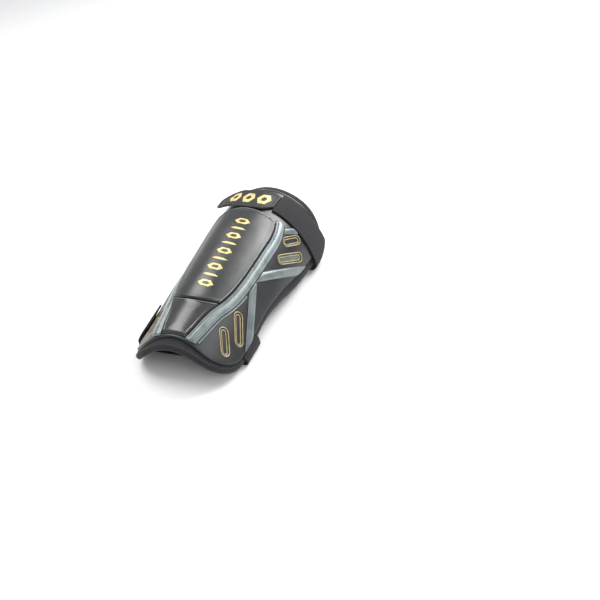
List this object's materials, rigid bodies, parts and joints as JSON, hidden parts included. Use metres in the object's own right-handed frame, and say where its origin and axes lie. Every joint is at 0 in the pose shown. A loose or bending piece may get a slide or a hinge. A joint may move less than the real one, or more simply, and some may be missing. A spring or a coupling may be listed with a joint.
{
  "type": "shin guard",
  "caption": "Hard-shell shin guard with a padded backing, arched to the leg, with raised centre panels and ribs, a knee-side wrap strap and an ankle-side strap.",
  "frame": {"origin": "on the floor, under the middle of the overall box", "axes": "+Y along the leg from the ankle end to the knee end, +Z out of the front of the guard, +X to the right of someone looking at the front with the knee end up"},
  "size_m": [0.1212, 0.233, 0.0756],
  "materials": {
    "pad_fabric": "charcoal brushed knit over foam",
    "satin_shell": "satin black moulded plastic",
    "gloss_panel": "glossier black moulded plastic",
    "silver": "blue-grey silver paint on the plastic",
    "gold": "pale gold paint",
    "elastic": "woven black elastic webbing",
    "tab_rubber": "matt moulded rubber"
  },
  "bodies": {
    "root": {"foam_pad": "pad_fabric", "hard_shell": "satin_shell", "upper_panel": "satin_shell", "lower_panel": "gloss_panel", "rail_left": "silver", "rail_right": "silver", "trim_line_left": "silver", "trim_line_right": "silver", "knee_rib_left": "silver", "knee_rib_right": "silver", "ankle_rib_left": "silver", "ankle_rib_right": "silver", "top_stub_left": "silver", "top_stub_right": "silver", "slot_ring_a_left": "gold", "slot_ring_a_right": "gold", "slot_ring_b_left": "gold", "slot_ring_b_right": "gold", "slot_ring_c_left": "gold", "slot_ring_c_right": "gold", "slot_ring_d_left": "gold", "slot_ring_d_right": "gold", "knee_strap": "elastic", "ankle_strap": "elastic", "strap_tab": "tab_rubber"}
  },
  "joints": []
}
